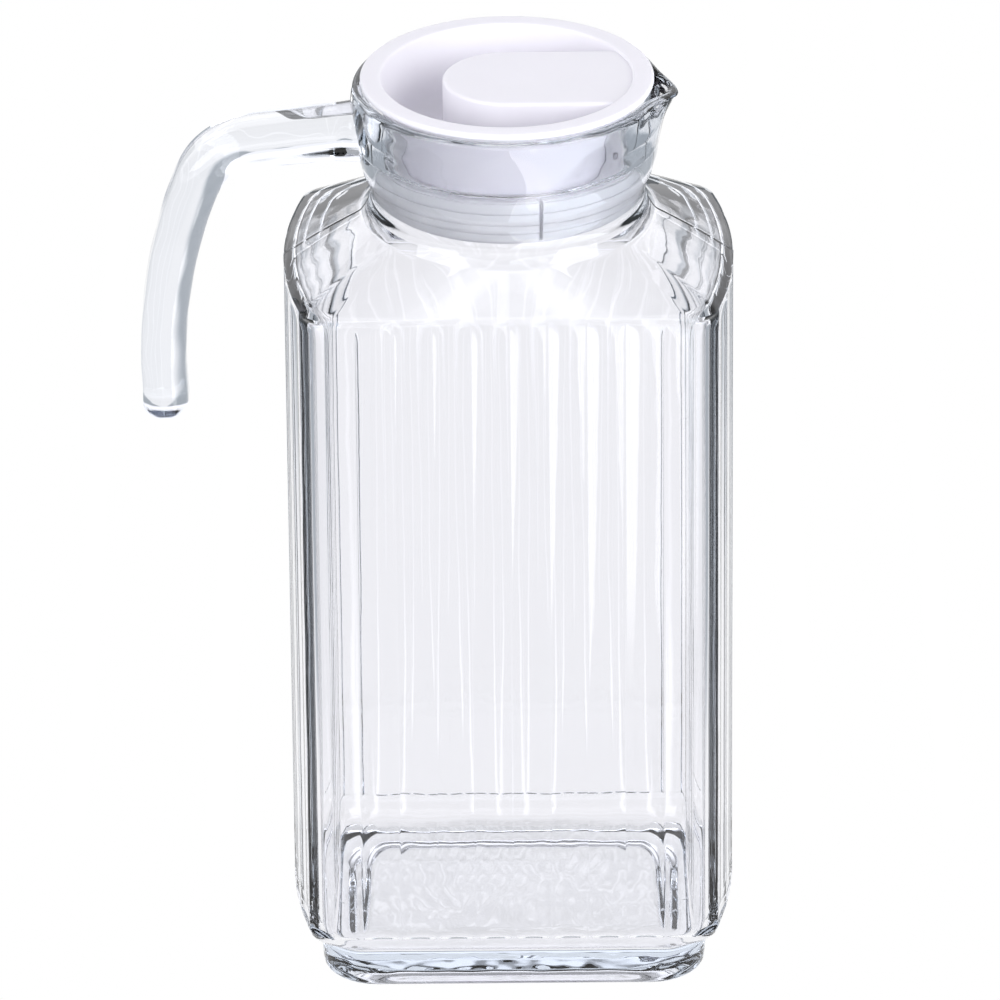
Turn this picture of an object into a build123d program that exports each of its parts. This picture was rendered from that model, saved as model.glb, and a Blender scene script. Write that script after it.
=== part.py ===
from build123d import *
import os
from math import atan2, cos, exp, pi, radians, sin, sqrt

# Large glass refrigerator jug: a fluted, flat-fronted glass vessel on a small foot, a flared mouth
# with a pinched pouring lip (+X), an open hanging glass handle (-X), and a plastic lid whose plug
# carries a split, finned sealing ring.
# Frame: origin at the centre of the resting face, Z up, width along X, depth along Y. Millimetres.

os.makedirs("parts", exist_ok=True)

# ---- vessel ----------------------------------------------------------------------------------
body_width = 122.0
body_depth = 87.2
outer_corner = 9.0
outer_side = 150.0
inner_corner = 13.0
inner_side = 146.0
panel_end = 49.6
side_ridges = (24.4, 12.2)
foot_length = 107.0
foot_depth = 80.0
foot_corner = 15.0
foot_height = 13.4
foot_draft = 2.5
foot_edge = 2.6
punt_length = 92.0
punt_depth = 65.0
punt_rise = 2.2
belt_height = 4.4
belt_edge = 3.0
flute_top = 206.2
flute_sag = 0.45
front_flute = 10.4
front_flutes = 8
wall = 3.9
floor_top = 10.5
floor_fillet = 9.5
shoulder_top = 219.4
shoulder_radius = 40.0
bore_radius = 34.6
bore_bottom = 221.0
bore_top = 240.0
collar_bottom = 239.5
neck_head_radius = 40.8
ledge = 0.5
rim_top = 257.0
rim_round = 1.3

# ---- handle ----------------------------------------------------------------------------------
handle_thickness = 12.4
handle_breadth = 19.5
handle_round = 5.7
handle_end = 158.2

# ---- lid and sealing ring --------------------------------------------------------------------
flange_radius = 39.7
flange_bottom = 257.3
flange_thickness = 1.8
recess_radius = 34.2
recess_floor_radius = 28.8
recess_floor = 240.3
dish_bottom = 238.2
dish_wall = 1.8
tongue_radius = 17.4
tongue_top = 258.3
boss_radius = 31.0
boss_bottom = 224.0
boss_wall = 1.8
lip_radius = 31.9
lip_height = 1.0
ring_bore = 31.05
ring_radius = 33.3
fin_radius = 34.25
ring_bottom = 225.2
ring_top = 237.9
fin_pitch = 3.1
fin_height = 1.2
slit_width = 1.0
slit_angle = -75.5


def plan_arcs(grow, corner, side):
    """Corner centre and tangent point of the plan outline, grown outwards by a margin."""
    half_x = body_width / 2 + grow
    half_y = body_depth / 2 + grow
    reach = side - corner
    cx = half_x - side + sqrt(reach**2 - (half_y - corner) ** 2)
    cy = half_y - corner
    tx = half_x - side + side * (cx - half_x + side) / reach
    ty = side * cy / reach
    return half_x, half_y, cx, cy, tx, ty


def plan_outline(grow, corner, side):
    """Closed plan outline of the body: straight front and back, rounded corners, bowed sides."""
    half_x, half_y, cx, cy, tx, ty = plan_arcs(grow, corner, side)
    mid = atan2(ty + half_y - 2 * cy, tx + cx - 2 * cx)
    mx, my = cx + corner * cos(mid), cy + corner * sin(mid)
    with BuildLine() as line:
        Line((-cx, -half_y), (cx, -half_y))
        ThreePointArc((cx, -half_y), (mx, -my), (tx, -ty))
        ThreePointArc((tx, -ty), (half_x, 0), (tx, ty))
        ThreePointArc((tx, ty), (mx, my), (cx, half_y))
        Line((cx, half_y), (-cx, half_y))
        ThreePointArc((-cx, half_y), (-mx, my), (-tx, ty))
        ThreePointArc((-tx, ty), (-half_x, 0), (-tx, -ty))
        ThreePointArc((-tx, -ty), (-mx, -my), (-cx, -half_y))
    return line.line


def ring_outline(radius):
    """Circle cut into the same eight edges as the plan outline, for lofting."""
    a, b = 42.0, 33.0
    with BuildLine() as line:
        CenterArc((0, 0), radius, -180 + a, 180 - 2 * a)
        CenterArc((0, 0), radius, -a, a - b)
        CenterArc((0, 0), radius, -b, 2 * b)
        CenterArc((0, 0), radius, b, a - b)
        CenterArc((0, 0), radius, a, 180 - 2 * a)
        CenterArc((0, 0), radius, 180 - a, a - b)
        CenterArc((0, 0), radius, 180 - b, 2 * b)
        CenterArc((0, 0), radius, 180 + b, a - b)
    return line.line


def mouth_outline(radius, beak):
    """Closed outline of the mouth: a circle with a pinched beak of the given reach at +X."""
    points = []
    count = 36
    for i in range(count):
        a = 2 * pi * i / count
        off = a if a < pi else a - 2 * pi
        r = radius + beak * exp(-((off / radians(13)) ** 2))
        points.append(Vector(r * cos(a), r * sin(a)))
    with BuildLine() as line:
        Spline(*points, periodic=True)
    return line.line


def ridge_points():
    """Arrises of the fluted outline, anticlockwise from the left end of the front."""
    half_x, half_y, cx, cy, tx, ty = plan_arcs(0, outer_corner, outer_side)
    half = front_flute * front_flutes / 2
    front = [(-half + front_flute * i, -half_y) for i in range(front_flutes + 1)]
    end_y = cy + sqrt(outer_corner**2 - (panel_end - cx) ** 2)
    right = [(panel_end, -end_y), (tx, -ty)]
    for y in side_ridges:
        right.append((half_x - outer_side + sqrt(outer_side**2 - y**2), -y))
    right.append((half_x, 0.0))
    right += [(x, -y) for x, y in reversed(right[:-1])]
    back = [(-x, -y) for x, y in front]
    left = [(-x, -y) for x, y in right]
    return front + right + back + left


# ---- vessel: foot, belt, fluted body, shoulder, neck, flared mouth -----------------------------
with BuildPart() as foot:
    with BuildSketch(Plane.XY):
        RectangleRounded(foot_length - 1.2, foot_depth - 1.2, foot_corner)
    extrude(amount=foot_height, taper=-foot_draft)
    fillet(foot.faces().sort_by(Axis.Z)[0].edges(), foot_edge)

with BuildPart() as belt:
    with BuildSketch(Plane.XY.offset(foot_height)):
        add(plan_outline(0.12, outer_corner, outer_side))
        make_face()
    extrude(amount=belt_height)
    fillet(belt.faces().sort_by(Axis.Z)[0].edges(), belt_edge)

with BuildPart() as fluted:
    with BuildSketch(Plane.XY.offset(foot_height + belt_height)):
        with BuildLine():
            ridges = [Vector(x, y) for x, y in ridge_points()]
            for i, start in enumerate(ridges):
                end = ridges[(i + 1) % len(ridges)]
                edge = end - start
                flat = abs(edge.Y) < 0.7 and abs(start.X) > 41 and abs(end.X) > 41
                if flat:
                    Line(start, end)
                else:
                    inward = Vector(-edge.Y, edge.X).normalized()
                    middle = (start + end) * 0.5 + inward * flute_sag
                    ThreePointArc(start, middle, end)
        make_face()
    extrude(amount=flute_top - foot_height - belt_height)

with BuildPart() as shoulder:
    with BuildSketch(Plane.XY.offset(flute_top)):
        add(plan_outline(0.12, outer_corner, outer_side))
        make_face()
    with BuildSketch(Plane.XY.offset(shoulder_top)):
        add(ring_outline(shoulder_radius))
        make_face()
    loft(ruled=True)

with BuildPart() as neck:
    with BuildSketch(Plane.XZ):
        with BuildLine():
            neck_side = Spline(
                (shoulder_radius, shoulder_top),
                (37.9, 222.2),
                (37.0, 225.4),
                (37.9, 229.0),
                (39.6, 233.4),
                (neck_head_radius, collar_bottom),
            )
            Line(neck_side @ 1, (0, collar_bottom))
            Line((0, collar_bottom), (0, shoulder_top))
            Line((0, shoulder_top), neck_side @ 0)
        make_face()
    revolve(axis=Axis.Z)

with BuildPart() as collar:
    for level, radius, beak in (
        (collar_bottom, neck_head_radius + 0.3, 0.0),
        (247.0, 41.9, 0.7),
        (253.0, 42.2, 2.6),
        (rim_top, 41.6, 3.4),
    ):
        with BuildSketch(Plane.XY.offset(level)):
            add(mouth_outline(radius, beak))
            make_face()
    loft()
    fillet(collar.faces().sort_by(Axis.Z)[-1].edges(), rim_round)

with BuildPart() as cavity:
    with BuildSketch(Plane.XY.offset(floor_top)):
        add(plan_outline(-wall, inner_corner, inner_side))
        make_face()
    extrude(amount=flute_top - 2.0 - floor_top)
    fillet(cavity.faces().sort_by(Axis.Z)[0].edges(), floor_fillet)
    with BuildSketch(Plane.XY.offset(flute_top - 2.0)):
        add(plan_outline(-wall, inner_corner, inner_side))
        make_face()
    with BuildSketch(Plane.XY.offset(bore_bottom)):
        add(ring_outline(bore_radius))
        make_face()
    loft(ruled=True)
    with BuildSketch(Plane.XY.offset(bore_bottom)):
        Circle(bore_radius)
    extrude(amount=bore_top - bore_bottom)

with BuildPart() as funnel:
    for level, radius, beak in (
        (bore_top, bore_radius + ledge, 0.0),
        (247.0, 37.2, 0.4),
        (253.0, 38.4, 2.6),
        (rim_top, 38.7, 3.6),
    ):
        with BuildSketch(Plane.XY.offset(level)):
            add(mouth_outline(radius, beak))
            make_face()
    loft()

with BuildPart() as punt:
    with BuildSketch(Plane.XY):
        RectangleRounded(punt_length, punt_depth, foot_corner - 6)
    extrude(amount=punt_rise, taper=35)

with BuildPart() as vessel:
    add(foot.part)
    add(belt.part)
    add(fluted.part)
    add(shoulder.part)
    add(neck.part)
    add(collar.part)
    add(cavity.part, mode=Mode.SUBTRACT)
    add(funnel.part, mode=Mode.SUBTRACT)
    add(punt.part, mode=Mode.SUBTRACT)

# ---- handle: a solid glass bar fused to the mouth, bent down and left open at its end ----------
with BuildLine(Plane.XZ) as handle_path:
    bar = ThreePointArc((-38.5, 243.0), (-56.3, 241.75), (-70.0, 239.9))
    bend = TangentArc(bar @ 1, (-84.5, 228.1), tangent=bar % 1)
    drop = TangentArc(bend @ 1, (-94.1, 171.0), tangent=bend % 1)
    Line(drop @ 1, (drop @ 1) + (drop % 1) * (171.0 - handle_end))

with BuildPart() as handle:
    with BuildSketch(Plane(origin=handle_path.line @ 0, x_dir=(0, 1, 0), z_dir=handle_path.line % 0)):
        RectangleRounded(handle_breadth, handle_thickness, handle_round)
    sweep(path=handle_path.line)
    fillet(handle.faces().sort_by(Axis.Z)[0].edges(), handle_round - 0.6)
    add(collar.part, mode=Mode.SUBTRACT)
    add(neck.part, mode=Mode.SUBTRACT)

# ---- lid: flange, dished recess with a grip tongue reaching the lip side, hollow plug boss ------
with BuildPart() as recess_space:
    with BuildSketch(Plane.XZ):
        with BuildLine():
            Polyline(
                (0, flange_bottom + flange_thickness + 1),
                (recess_radius, flange_bottom + flange_thickness + 1),
                (recess_radius, flange_bottom + flange_thickness),
                (recess_floor_radius, recess_floor),
                (0, recess_floor),
                close=True,
            )
        make_face()
    revolve(axis=Axis.Z)
    fillet(recess_space.edges().sort_by(Axis.Z)[0], 3.0)

with BuildPart() as tongue:
    with BuildSketch(Plane.XY.offset(recess_floor - 0.5)):
        Circle(tongue_radius)
        with Locations((20, 0)):
            Rectangle(40, 2 * tongue_radius)
    extrude(amount=tongue_top - recess_floor + 0.5)
    fillet(tongue.edges().group_by(Axis.Z)[-1], 0.9)
    with BuildSketch(Plane.XZ):
        with BuildLine():
            Polyline(
                (0, recess_floor - 1),
                (recess_floor_radius + 1.0, recess_floor - 1),
                (recess_radius + 0.9, flange_bottom + 0.5),
                (0, flange_bottom + 0.5),
                close=True,
            )
        make_face()
    revolve(axis=Axis.Z, mode=Mode.INTERSECT)

with BuildPart() as tongue_hollow:
    with BuildSketch(Plane.XY.offset(boss_bottom - 1)):
        Circle(tongue_radius - dish_wall)
        with Locations((20, 0)):
            Rectangle(40, 2 * (tongue_radius - dish_wall))
    extrude(amount=tongue_top - dish_wall - boss_bottom + 1)
    with BuildSketch(Plane.XZ):
        with BuildLine():
            Polyline(
                (0, boss_bottom - 2),
                (recess_floor_radius, boss_bottom - 2),
                (recess_floor_radius, dish_bottom),
                (recess_radius - 0.4, flange_bottom),
                (0, flange_bottom),
                close=True,
            )
        make_face()
    revolve(axis=Axis.Z, mode=Mode.INTERSECT)

with BuildPart() as lid:
    with BuildSketch(Plane.XZ):
        with BuildLine():
            Polyline(
                (0, dish_bottom),
                (boss_radius - boss_wall, dish_bottom),
                (boss_radius - boss_wall, boss_bottom),
                (lip_radius, boss_bottom),
                (lip_radius, boss_bottom + lip_height),
                (boss_radius, boss_bottom + lip_height),
                (boss_radius, recess_floor),
                (recess_radius + dish_wall - 0.2, flange_bottom),
                (flange_radius, flange_bottom),
                (flange_radius, flange_bottom + flange_thickness),
                (0, flange_bottom + flange_thickness),
                close=True,
            )
        make_face()
    revolve(axis=Axis.Z)
    add(recess_space.part, mode=Mode.SUBTRACT)
    outer = lid.edges().filter_by(GeomType.CIRCLE)
    fillet([e for e in outer if abs(e.radius - flange_radius) < 0.01], 0.6)
    add(tongue.part)
    add(tongue_hollow.part, mode=Mode.SUBTRACT)

# ---- sealing ring: split ring with fins, running on the lid's boss inside the bore --------------
with BuildPart() as seal_ring:
    with BuildSketch(Plane.XY.offset(ring_bottom)):
        Circle(ring_radius)
        Circle(ring_bore, mode=Mode.SUBTRACT)
    extrude(amount=ring_top - ring_bottom)
    for level in range(4):
        with BuildSketch(Plane.XY.offset(ring_bottom + 1.0 + fin_pitch * level)):
            Circle(fin_radius)
            Circle(ring_bore, mode=Mode.SUBTRACT)
        extrude(amount=fin_height)
    slit_plane = Plane(
        origin=(0, 0, (ring_bottom + ring_top) / 2),
        x_dir=(cos(radians(slit_angle)), sin(radians(slit_angle)), 0),
        z_dir=(0, 0, 1),
    )
    with Locations(slit_plane):
        with Locations((ring_radius - 1.0, 0, 0)):
            Box(8.0, slit_width, ring_top - ring_bottom + 2, mode=Mode.SUBTRACT)

for name, piece in (
    ("vessel", vessel),
    ("handle", handle),
    ("lid", lid),
    ("seal_ring", seal_ring),
):
    piece.part.label = name

export_step(vessel.part, "parts/vessel.step")
export_step(handle.part, "parts/handle.step")
export_step(lid.part, "parts/lid.step")
export_step(seal_ring.part, "parts/seal_ring.step")

liquid = cavity.part.volume + funnel.part.volume
print("volume to the rim, litres", round(liquid / 1e6, 3))
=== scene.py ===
import math

import bmesh
import bpy
import numpy as np
from bpy.props import FloatProperty, FloatVectorProperty, IntProperty, PointerProperty
from mathutils import Matrix, Vector


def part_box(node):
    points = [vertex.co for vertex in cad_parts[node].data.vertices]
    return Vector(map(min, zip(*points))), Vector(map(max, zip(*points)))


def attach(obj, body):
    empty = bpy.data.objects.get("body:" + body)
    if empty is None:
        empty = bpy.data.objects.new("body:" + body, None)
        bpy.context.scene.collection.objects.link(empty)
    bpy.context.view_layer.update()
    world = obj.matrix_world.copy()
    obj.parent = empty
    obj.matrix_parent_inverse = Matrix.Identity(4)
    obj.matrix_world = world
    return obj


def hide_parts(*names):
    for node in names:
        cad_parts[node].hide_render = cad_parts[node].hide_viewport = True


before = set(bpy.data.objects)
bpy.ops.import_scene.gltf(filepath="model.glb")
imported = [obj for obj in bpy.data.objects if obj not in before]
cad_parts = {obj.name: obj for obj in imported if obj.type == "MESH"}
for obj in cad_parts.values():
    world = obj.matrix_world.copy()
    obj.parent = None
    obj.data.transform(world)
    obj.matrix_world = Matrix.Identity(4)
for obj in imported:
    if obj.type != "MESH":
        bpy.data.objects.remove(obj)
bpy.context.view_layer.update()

bl_info = {
    "name": "Glass Refrigerator Jug",
    "version": (1, 0, 0),
    "blender": (4, 5, 0),
    "location": "3D View > Sidebar > Glass Jug",
    "description": "Fluted glass jug with a hanging handle, a recessed lid and a finned sealing ring",
    "category": "Object",
}

MM = 0.001
VESSEL_LOW, VESSEL_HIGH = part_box("vessel")
HANDLE_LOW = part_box("handle")[0]
LID_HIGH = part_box("lid")[1]
RING_LOW, RING_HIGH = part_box("seal_ring")

# plan of the body: corner radius, radius of the bowed sides, flute pitch, half width of the flat front
BODY_CORNER = 9 * MM
BODY_SIDE = 0.150
FLUTE_PITCH = 10.4 * MM
FRONT_HALF = 49.6 * MM
# plan of the foot at the table, and the radius that rounds its lower edge
FOOT_HALF_X, FOOT_HALF_Y, FOOT_CORNER = 0.0529, 0.0394, 0.015
FOOT_ROUND = 2.6 * MM
FOOT_DRAFT = math.radians(2.5)
# inner cavity: corner radius, radius of its sides, half sizes and squareness of the oval floor, its fillet
CAVITY_CORNER = 7 * MM
CAVITY_SIDE = 0.146
OVAL_X, OVAL_Y, OVAL_POWER = 0.0465, 0.0290, 4.0
CAVITY_SWELL = 11.0 * MM
FILLET_POWER = 1.3
# neck: radius and height of its root, level of the inside of the shoulder at the bore
ROOT_RADIUS, ROOT_Z = 0.040, 0.2194
BORE_FOOT = 0.2205
# mouth: outer and inner radius of the rim, drop of its edges, lip sizes that the knots below are given for
RIM_OUTER, RIM_INNER, RIM_DROP = 41.9 * MM, 38.6 * MM, 1.5 * MM
KNOT_REACH, KNOT_DIP = 4.3 * MM, 2.2 * MM
SEAM_HALF, SEAM_HEIGHT = 0.0002, 0.00012
# handle: length of the rounded free end, length of the flare at the root, unevenness of the bar
TIP = 5.8 * MM
FLARE_LENGTH = 11 * MM
BAR_SWAY = 0.00012
# lid, in mm: recess floor, recess wall's foot, flange top and its edge radius, radius of the boss
RECESS_Z, WALL_Z, FLANGE_Z, EDGE, BOSS = 240.3, 245.0, 259.1, 0.7, 31.0
# grip tongue, in mm: radius, rounding of its top, radius of the hollow
TONGUE, TONGUE_ROUND, HOLLOW = 17.4, 0.9, 15.6
# sealing ring: bore, wall, height of a fin, first fin's height, play at the bore, edge radius, slit's angle
RING_BORE, RING_WALL, FIN_HEIGHT = 0.03105, 0.00225, 0.0027
FIRST_FIN, FIN_INSET, RING_EDGE = 0.0016, 0.0003, 0.00022
SLIT_ANGLE = math.radians(-75.5)
# materials: depth of the glass's unevenness and of the plastic's grain
GLASS_BUMP, PLASTIC_BUMP = 0.00006, 0.00003
# table, in metres from the neck's axis: the jug's painted shadow, the strip lamps' spacing and half width
PAINTED_SHADOW_X, PAINTED_SHADOW_Y = 0.068, 0.050
STRIP_GAP, STRIP_HALF = 0.021, 0.004
# stage: half size of the table, gap under the foot, what the lamps and the camera aim at
TABLE_HALF, TABLE_GAP = 12, 0.0004
LAMP_AIM, CAMERA_AIM = (0, 0, 0.15), (0, 0, 0.1315)
CAMERA_ROLL = math.radians(-0.48)
# angles above which an edge stays crisp, in degrees
GLASS_CRISP, LID_CRISP, RING_CRISP = 38, 32, 40


# ---- settings ------------------------------------------------------------------------------------
def length(name, description, default, low=0.0):
    """A size in metres, shown with its unit in the panel."""
    return FloatProperty(
        name=name, description=description, default=default, min=low, subtype="DISTANCE", unit="LENGTH",
        precision=5,
    )


def tint(name, description, default):
    """A colour a user may change."""
    return FloatVectorProperty(
        name=name, description=description, default=default, size=3, min=0.0, max=1.0, subtype="COLOR"
    )


class GlassJugVesselSettings(bpy.types.PropertyGroup):
    """Sizes of the hollow glass body, mouth and foot."""

    width: length("Body width", "Width of the fluted body over the side arrises", 0.122)
    depth: length("Body depth", "Depth of the fluted body, front to back", 0.0872)
    flute_depth: length("Flute depth", "How deep each concave flute is cut below its arrises", 0.00045)
    flute_top: length("Flute top", "Height at which the flutes run out under the shoulder", 0.2062)
    wall: length("Wall", "Thickness of the glass wall", 0.0039)
    floor_top: length("Floor top", "Height of the inner floor above the resting rim", 0.0105)
    punt_rise: length("Punt rise", "How far the middle of the underside is raised", 0.0022)
    neck_bore: length("Neck bore", "Radius of the neck's bore, which the sealing ring grips", 0.0346)
    rim_height: length("Rim height", "Height of the rim", VESSEL_HIGH.z)
    lip_reach: length("Lip reach", "How far the pinched pouring lip stands out of the round mouth", 0.0043)
    lip_dip: length("Lip dip", "How far the pouring lip's edge dips", 0.0022)
    sway: length("Surface sway", "Height of the slow unevenness that pressing leaves in the glass", 0.00011)
    ripple: length("Floor ripple", "Height of the fine ripples in the floor and underside", 0.00004)
    glass_colour: tint("Glass colour", "Colour that a deep piece of the glass takes", (0.50, 0.63, 0.78))


class GlassJugHandleSettings(bpy.types.PropertyGroup):
    """Sizes of the solid glass handle."""

    breadth: length("Breadth", "Width of the bar across the jug", 0.0195)
    thickness: length("Thickness", "Thickness of the bar in the plane of its bend", 0.0124)
    corner: length("Corner", "Radius of the bar's long edges", 0.0057)
    root_flare: FloatProperty(
        name="Root flare", description="How much wider the bar is where it joins the mouth", default=0.10,
        min=0.0,
    )
    end_height: length("End height", "Height of the bar's rounded free end", HANDLE_LOW.z)


class GlassJugLidSettings(bpy.types.PropertyGroup):
    """Sizes and colour of the plastic lid."""

    flange_radius: length("Flange radius", "Radius of the flange that rests on the rim", LID_HIGH.x)
    plastic_colour: tint("Plastic colour", "Colour of the milky lid plastic", (0.79, 0.775, 0.83))


class GlassJugRingSettings(bpy.types.PropertyGroup):
    """Sizes of the split, finned sealing ring."""

    fin_count: IntProperty(name="Fins", description="Number of gripping fins", default=4, min=1, max=12)
    fin_pitch: length("Fin pitch", "Height from one fin to the next", 0.0031)
    fin_reach: length("Fin reach", "How far a fin stands out of the ring", 0.0005)
    slit: length("Slit", "Width of the slit that lets the ring close up", 0.0010)
    plastic_colour: tint("Plastic colour", "Colour of the sealing ring", (0.94, 0.935, 0.965))


class GlassJugStageSettings(bpy.types.PropertyGroup):
    """The pale table, the lamps and the camera."""

    camera_distance: length("Camera distance", "From the camera to the middle of the jug", 2.867)
    camera_elevation: FloatProperty(
        name="Camera elevation", description="Camera's angle above the table", default=math.radians(26.39),
        subtype="ANGLE", unit="ROTATION",
    )
    table_glow: FloatProperty(
        name="Table glow", description="Brightness of the lit table", default=1.0, min=0.0
    )


# ---- shape helpers -------------------------------------------------------------------------------
def waves(points, scale, seed, count=18):
    """Smooth seeded unevenness between about -1 and 1 at each point, for bumps of the given size."""
    rng = np.random.default_rng(seed)
    total = np.zeros(len(points))
    for _ in range(count):
        way = rng.normal(size=3)
        way *= 2 * math.pi / (np.linalg.norm(way) * np.asarray(scale) * rng.uniform(0.7, 1.5))
        total += np.sin(points @ way + rng.uniform(0, 2 * math.pi))
    return total / math.sqrt(count) / 1.4


def smooth_step(low, high, value):
    """0 below low, 1 above high, with an eased run between."""
    t = np.clip((np.asarray(value, float) - low) / (high - low), 0, 1)
    return t * t * (3 - 2 * t)


def through(knots, value):
    """Smooth curve through (place, height) knots, read at value (Catmull-Rom)."""
    x = np.array([k[0] for k in knots], float)
    y = np.array([k[1] for k in knots], float)
    slope = np.gradient(y, x)
    v = np.clip(np.asarray(value, float), x[0], x[-1])
    i = np.clip(np.searchsorted(x, v) - 1, 0, len(x) - 2)
    h = x[i + 1] - x[i]
    t = (v - x[i]) / h
    return (
        (2 * t**3 - 3 * t**2 + 1) * y[i] + (t**3 - 2 * t**2 + t) * h * slope[i]
        + (3 * t**2 - 2 * t**3) * y[i + 1] + (t**3 - t**2) * h * slope[i + 1]
    )


def corner_centre(half_x, half_y, corner, side):
    """Centre of a round corner that meets a bowed side, and the angle at which they meet."""
    reach = side - corner
    cx = half_x - side + math.sqrt(reach**2 - (half_y - corner) ** 2)
    cy = half_y - corner
    return cx, cy, math.atan2(cy, cx - half_x + side)


def outline(stations, half_x, half_y, corner, side):
    """Points on a plan outline with straight front and back, round corners and bowed sides."""
    cx, cy, turn = corner_centre(half_x, half_y, corner, side)
    out = np.zeros((len(stations), 2))
    for i, (part, share, sx, sy) in enumerate(stations):
        if part == "front":
            x, y = cx * share, half_y
        elif part == "corner":
            a = math.pi / 2 + (turn - math.pi / 2) * share
            x, y = cx + corner * math.cos(a), cy + corner * math.sin(a)
        else:
            a = turn * share
            x, y = half_x - side + side * math.cos(a), side * math.sin(a)
        out[i] = (x * sx, y * sy)
    return out


def foot_outline(stations, half_x, half_y, corner):
    """Points on a rounded rectangle, for the same stations."""
    out = np.zeros((len(stations), 2))
    for i, (part, share, sx, sy) in enumerate(stations):
        if part == "front":
            x, y = (half_x - corner) * share, half_y
        elif part == "corner":
            a = math.pi / 2 * (1 - share)
            x, y = half_x - corner + corner * math.cos(a), half_y - corner + corner * math.sin(a)
        else:
            x, y = half_x, (half_y - corner) * share
        out[i] = (x * sx, y * sy)
    return out


def round_outline(stations):
    """Directions of the same stations round a circle."""
    out = np.zeros((len(stations), 2))
    for i, (part, share, sx, sy) in enumerate(stations):
        a = {"front": 90 - 48 * share, "corner": 42 - 9 * share, "side": 33 * share}[part]
        out[i] = (math.cos(math.radians(a)) * sx, math.sin(math.radians(a)) * sy)
    return out


def body_stations(half_x, half_y, corner, side, flute, depth):
    """Stations round the body, with the fluted outline's point at each. Points crowd near the arrises."""
    cx, _, turn = corner_centre(half_x, half_y, corner, side)
    panel = FRONT_HALF
    panel_angle = math.acos((panel - cx) / corner)
    steps = (0.0, 0.035, 0.1, 0.22, 0.36, 0.5, 0.64, 0.78, 0.9, 0.965)
    short = (0.0, 0.06, 0.3, 0.7, 0.94)
    quarter = []

    def arris(part, share):
        return outline([(part, share, 1, 1)], half_x, half_y, corner, side)[0]

    marks = [("front", flute * i / cx) for i in range(5)]
    marks.append(("corner", (math.pi / 2 - panel_angle) / (math.pi / 2 - turn)))
    marks.append(("side", 1.0))
    marks += [("side", math.asin(y * MM / side) / turn) for y in (24.4, 12.2, 0.0)]
    for i in range(len(marks) - 1):
        (part_a, a), (part_b, b) = marks[i], marks[i + 1]
        start, end = arris(part_a, a), arris(part_b, b)
        flat = i == 4
        for t in short if flat else steps:
            sag = 0.0 if flat else depth * 4 * t * (1 - t)
            edge = end - start
            inward = np.array((edge[1], -edge[0])) / np.linalg.norm(edge)
            point = start + edge * t + inward * sag
            if part_a == part_b:
                part, share = part_a, a + (b - a) * t
            elif flat:
                x = flute * 4 + (panel - flute * 4) * t
                if x < cx:
                    part, share = "front", x / cx
                else:
                    bend = math.pi / 2 - math.acos((x - cx) / corner)
                    part, share = "corner", bend / (math.pi / 2 - turn)
            else:
                part, share = ("corner", a + (1 - a) * t) if t > 0 else (part_a, a)
            quarter.append((part, share, point[0], point[1]))
    last = arris("side", 0.0)
    quarter.append(("side", 0.0, last[0], last[1]))
    ring = [(p, s, 1, 1, x, y) for p, s, x, y in quarter]
    ring += [(p, s, 1, -1, x, -y) for p, s, x, y in quarter[-2::-1]]
    ring += [(p, s, -1, -1, -x, -y) for p, s, x, y in quarter[1:]]
    ring += [(p, s, -1, 1, -x, y) for p, s, x, y in quarter[-2:0:-1]]
    ring = ring[::-1]
    return [r[:4] for r in ring], np.array([r[4:] for r in ring])


def mesh_from_rings(name, rings):
    """One closed mesh from rings of the same count, with a point at the first and the last ring's middle."""
    count = len(rings[0])
    points = np.concatenate(rings + [rings[0].mean(0)[None], rings[-1].mean(0)[None]])
    faces = []
    for r in range(len(rings) - 1):
        a, b = r * count, (r + 1) * count
        faces += [(a + i, a + (i + 1) % count, b + (i + 1) % count, b + i) for i in range(count)]
    first, last, end = len(points) - 2, len(points) - 1, (len(rings) - 1) * count
    faces += [(first, (i + 1) % count, i) for i in range(count)]
    faces += [(last, end + i, end + (i + 1) % count) for i in range(count)]
    mesh = bpy.data.meshes.new(name)
    mesh.from_pydata(points.tolist(), [], faces)
    outward(mesh)
    return mesh


def outward(mesh):
    """Turns a closed mesh's faces outwards."""
    bm = bmesh.new()
    bm.from_mesh(mesh)
    bmesh.ops.recalc_face_normals(bm, faces=bm.faces)
    if bm.calc_volume(signed=True) < 0:
        bmesh.ops.reverse_faces(bm, faces=bm.faces)
    bm.to_mesh(mesh)
    bm.free()
    mesh.update()


def push(mesh, heights):
    """Moves each point along its normal by its height."""
    count = len(mesh.vertices)
    place, normal = np.zeros(count * 3), np.zeros(count * 3)
    mesh.vertices.foreach_get("co", place)
    mesh.vertices.foreach_get("normal", normal)
    place += (normal.reshape(-1, 3) * np.asarray(heights)[:, None]).ravel()
    mesh.vertices.foreach_set("co", place)
    mesh.update()


def shade_smooth(mesh, crisp=180):
    """Shades a mesh smooth, with edges sharper than an angle in degrees kept crisp."""
    mesh.polygons.foreach_set("use_smooth", [True] * len(mesh.polygons))
    if crisp < 180:
        mesh.set_sharp_from_angle(angle=math.radians(crisp))
    mesh.update()


def add_piece(name, mesh, material):
    """Puts a mesh in the scene with its material, shaded smooth."""
    piece = bpy.data.objects.new(name, mesh)
    bpy.context.scene.collection.objects.link(piece)
    mesh.materials.clear()
    mesh.materials.append(material)
    shade_smooth(mesh)
    return piece


def baked(piece):
    """The mesh of a piece with its modifiers applied."""
    bpy.context.view_layer.update()
    shown = piece.evaluated_get(bpy.context.evaluated_depsgraph_get())
    return bpy.data.meshes.new_from_object(shown)


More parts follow.
